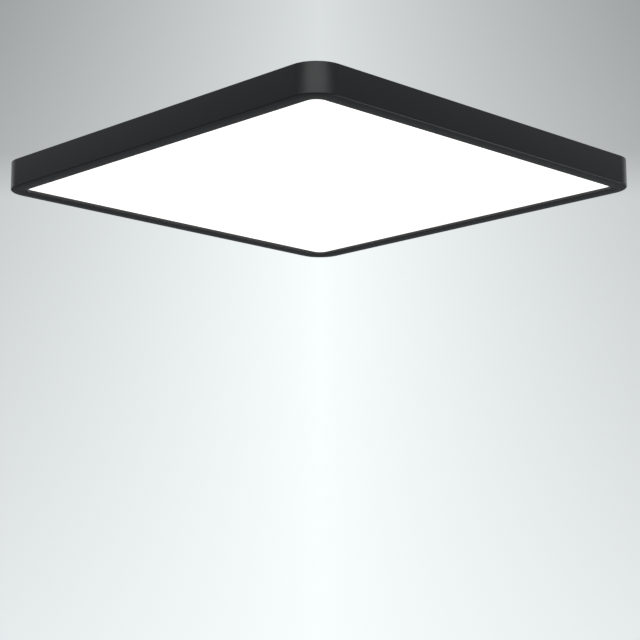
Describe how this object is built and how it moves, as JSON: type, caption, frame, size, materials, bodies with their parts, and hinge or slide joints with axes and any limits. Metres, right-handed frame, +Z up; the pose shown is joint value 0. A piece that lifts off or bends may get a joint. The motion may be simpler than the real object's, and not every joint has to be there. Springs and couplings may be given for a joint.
{
  "type": "flush mount ceiling light",
  "caption": "Thin square edge-lit ceiling light: black frame with rounded corners round a flat opal diffuser, hung by a twist lock on a ceiling strap.",
  "frame": {"origin": "middle of the mounting strap's upper face, which lies on the ceiling", "axes": "+Z up into the ceiling, +X along the mounting strap, +Y square to it along the light's side"},
  "size_m": [0.4, 0.4, 0.0255],
  "materials": {
    "amber_film": "polyimide film",
    "bare_aluminium": "mill finish",
    "black_abs": "fine matt moulded texture",
    "black_nylon": "moulded",
    "black_rubber": "matt",
    "brass_contact": "tinned at the ends",
    "capacitor_sleeve": "shrink sleeve",
    "chip_epoxy": "moulded epoxy",
    "clear_acrylic": "clear, polished",
    "copper_winding": "polyester tape over copper",
    "ferrite": "sintered, dull",
    "film_capacitor_yellow": "box moulding",
    "fuse_ceramic": "glazed ceramic",
    "green_board": "green solder mask",
    "green_screw": "green chromate",
    "grey_foam": "closed-cell foam",
    "grey_nylon": "moulded",
    "led_phosphor": "phosphor window in a white package",
    "opal_diffuser": "satin opal, lit from inside",
    "orange_button": "moulded",
    "rivet_aluminium": "bright",
    "screw_steel": "zinc plated",
    "spring_steel": "bright spring temper",
    "stud_steel": "turned, zinc plated",
    "white_board": "white solder mask",
    "white_film": "matt",
    "white_knob": "moulded",
    "white_nylon": "satin",
    "white_polycarbonate": "satin moulded",
    "zinc_steel": "zinc plated, satin"
  },
  "bodies": {
    "ceiling_side": {"mounting_strap": "zinc_steel", "hanging_studs": "stud_steel", "lock_springs": "spring_steel", "spring_rivets": "rivet_aluminium", "ground_screw": "green_screw"},
    "lamp": {"back_plate": "zinc_steel", "back_plate_screws": "screw_steel", "bezel_frame": "black_abs", "cable_grommet": "black_rubber", "clamp_spring_earth": "spring_steel", "clamp_spring_live": "spring_steel", "clamp_spring_neutral": "spring_steel", "contact_bars": "brass_contact", "corner_links": "amber_film", "diffuser": "opal_diffuser", "driver_board": "green_board", "driver_capacitors": "capacitor_sleeve", "driver_fuse": "fuse_ceramic", "driver_lid": "white_polycarbonate", "driver_lid_screws": "screw_steel", "driver_screws": "screw_steel", "driver_tray": "white_polycarbonate", "earth_screw": "screw_steel", "earth_washer": "stud_steel", "feed_connector": "white_nylon", "film_capacitor": "film_capacitor_yellow", "filter_choke": "ferrite", "foam_pad": "grey_foam", "hanger_rivets": "rivet_aluminium", "keyhole_hanger_east": "zinc_steel", "keyhole_hanger_west": "zinc_steel", "led_board_east": "white_board", "led_board_north": "white_board", "led_board_south": "white_board", "led_board_west": "white_board", "led_chips_east": "led_phosphor", "led_chips_north": "led_phosphor", "led_chips_south": "led_phosphor", "led_chips_west": "led_phosphor", "led_rail_east": "bare_aluminium", "led_rail_north": "bare_aluminium", "led_rail_south": "bare_aluminium", "led_rail_west": "bare_aluminium", "light_guide": "clear_acrylic", "output_socket": "white_nylon", "power_chips": "chip_epoxy", "reflector_film": "white_film", "socket_pins": "brass_contact", "switch_case": "black_nylon", "terminal_housing": "grey_nylon", "terminal_screws": "screw_steel", "transformer_core": "ferrite", "transformer_winding": "copper_winding"},
    "knob": {"switch_knob": "white_knob"},
    "button_earth": {"release_button_earth": "orange_button"},
    "button_neutral": {"release_button_neutral": "orange_button"},
    "button_live": {"release_button_live": "orange_button"}
  },
  "joints": [
    {"name": "twist_lock", "type": "hinge", "parent": "ceiling_side", "child": "lamp", "pos_m": [0, 0, 0], "axis": [0, 0, -1], "range_deg": [0, 15], "deforming": ["lock_springs"]},
    {"name": "colour_slide", "type": "slide", "parent": "lamp", "child": "knob", "axis": [1, 0, 0], "range_m": [-0.0023, 0.0023]},
    {"name": "press_earth", "type": "slide", "parent": "lamp", "child": "button_earth", "axis": [0, 0, -1], "range_m": [0, 0.0012], "stiffness_N_per_m": 3000, "springref_m": -0.0002, "deforming": ["clamp_spring_earth"]},
    {"name": "press_neutral", "type": "slide", "parent": "lamp", "child": "button_neutral", "axis": [0, 0, -1], "range_m": [0, 0.0012], "stiffness_N_per_m": 3000, "springref_m": -0.0002, "deforming": ["clamp_spring_neutral"]},
    {"name": "press_live", "type": "slide", "parent": "lamp", "child": "button_live", "axis": [0, 0, -1], "range_m": [0, 0.0012], "stiffness_N_per_m": 3000, "springref_m": -0.0002, "deforming": ["clamp_spring_live"]}
  ]
}
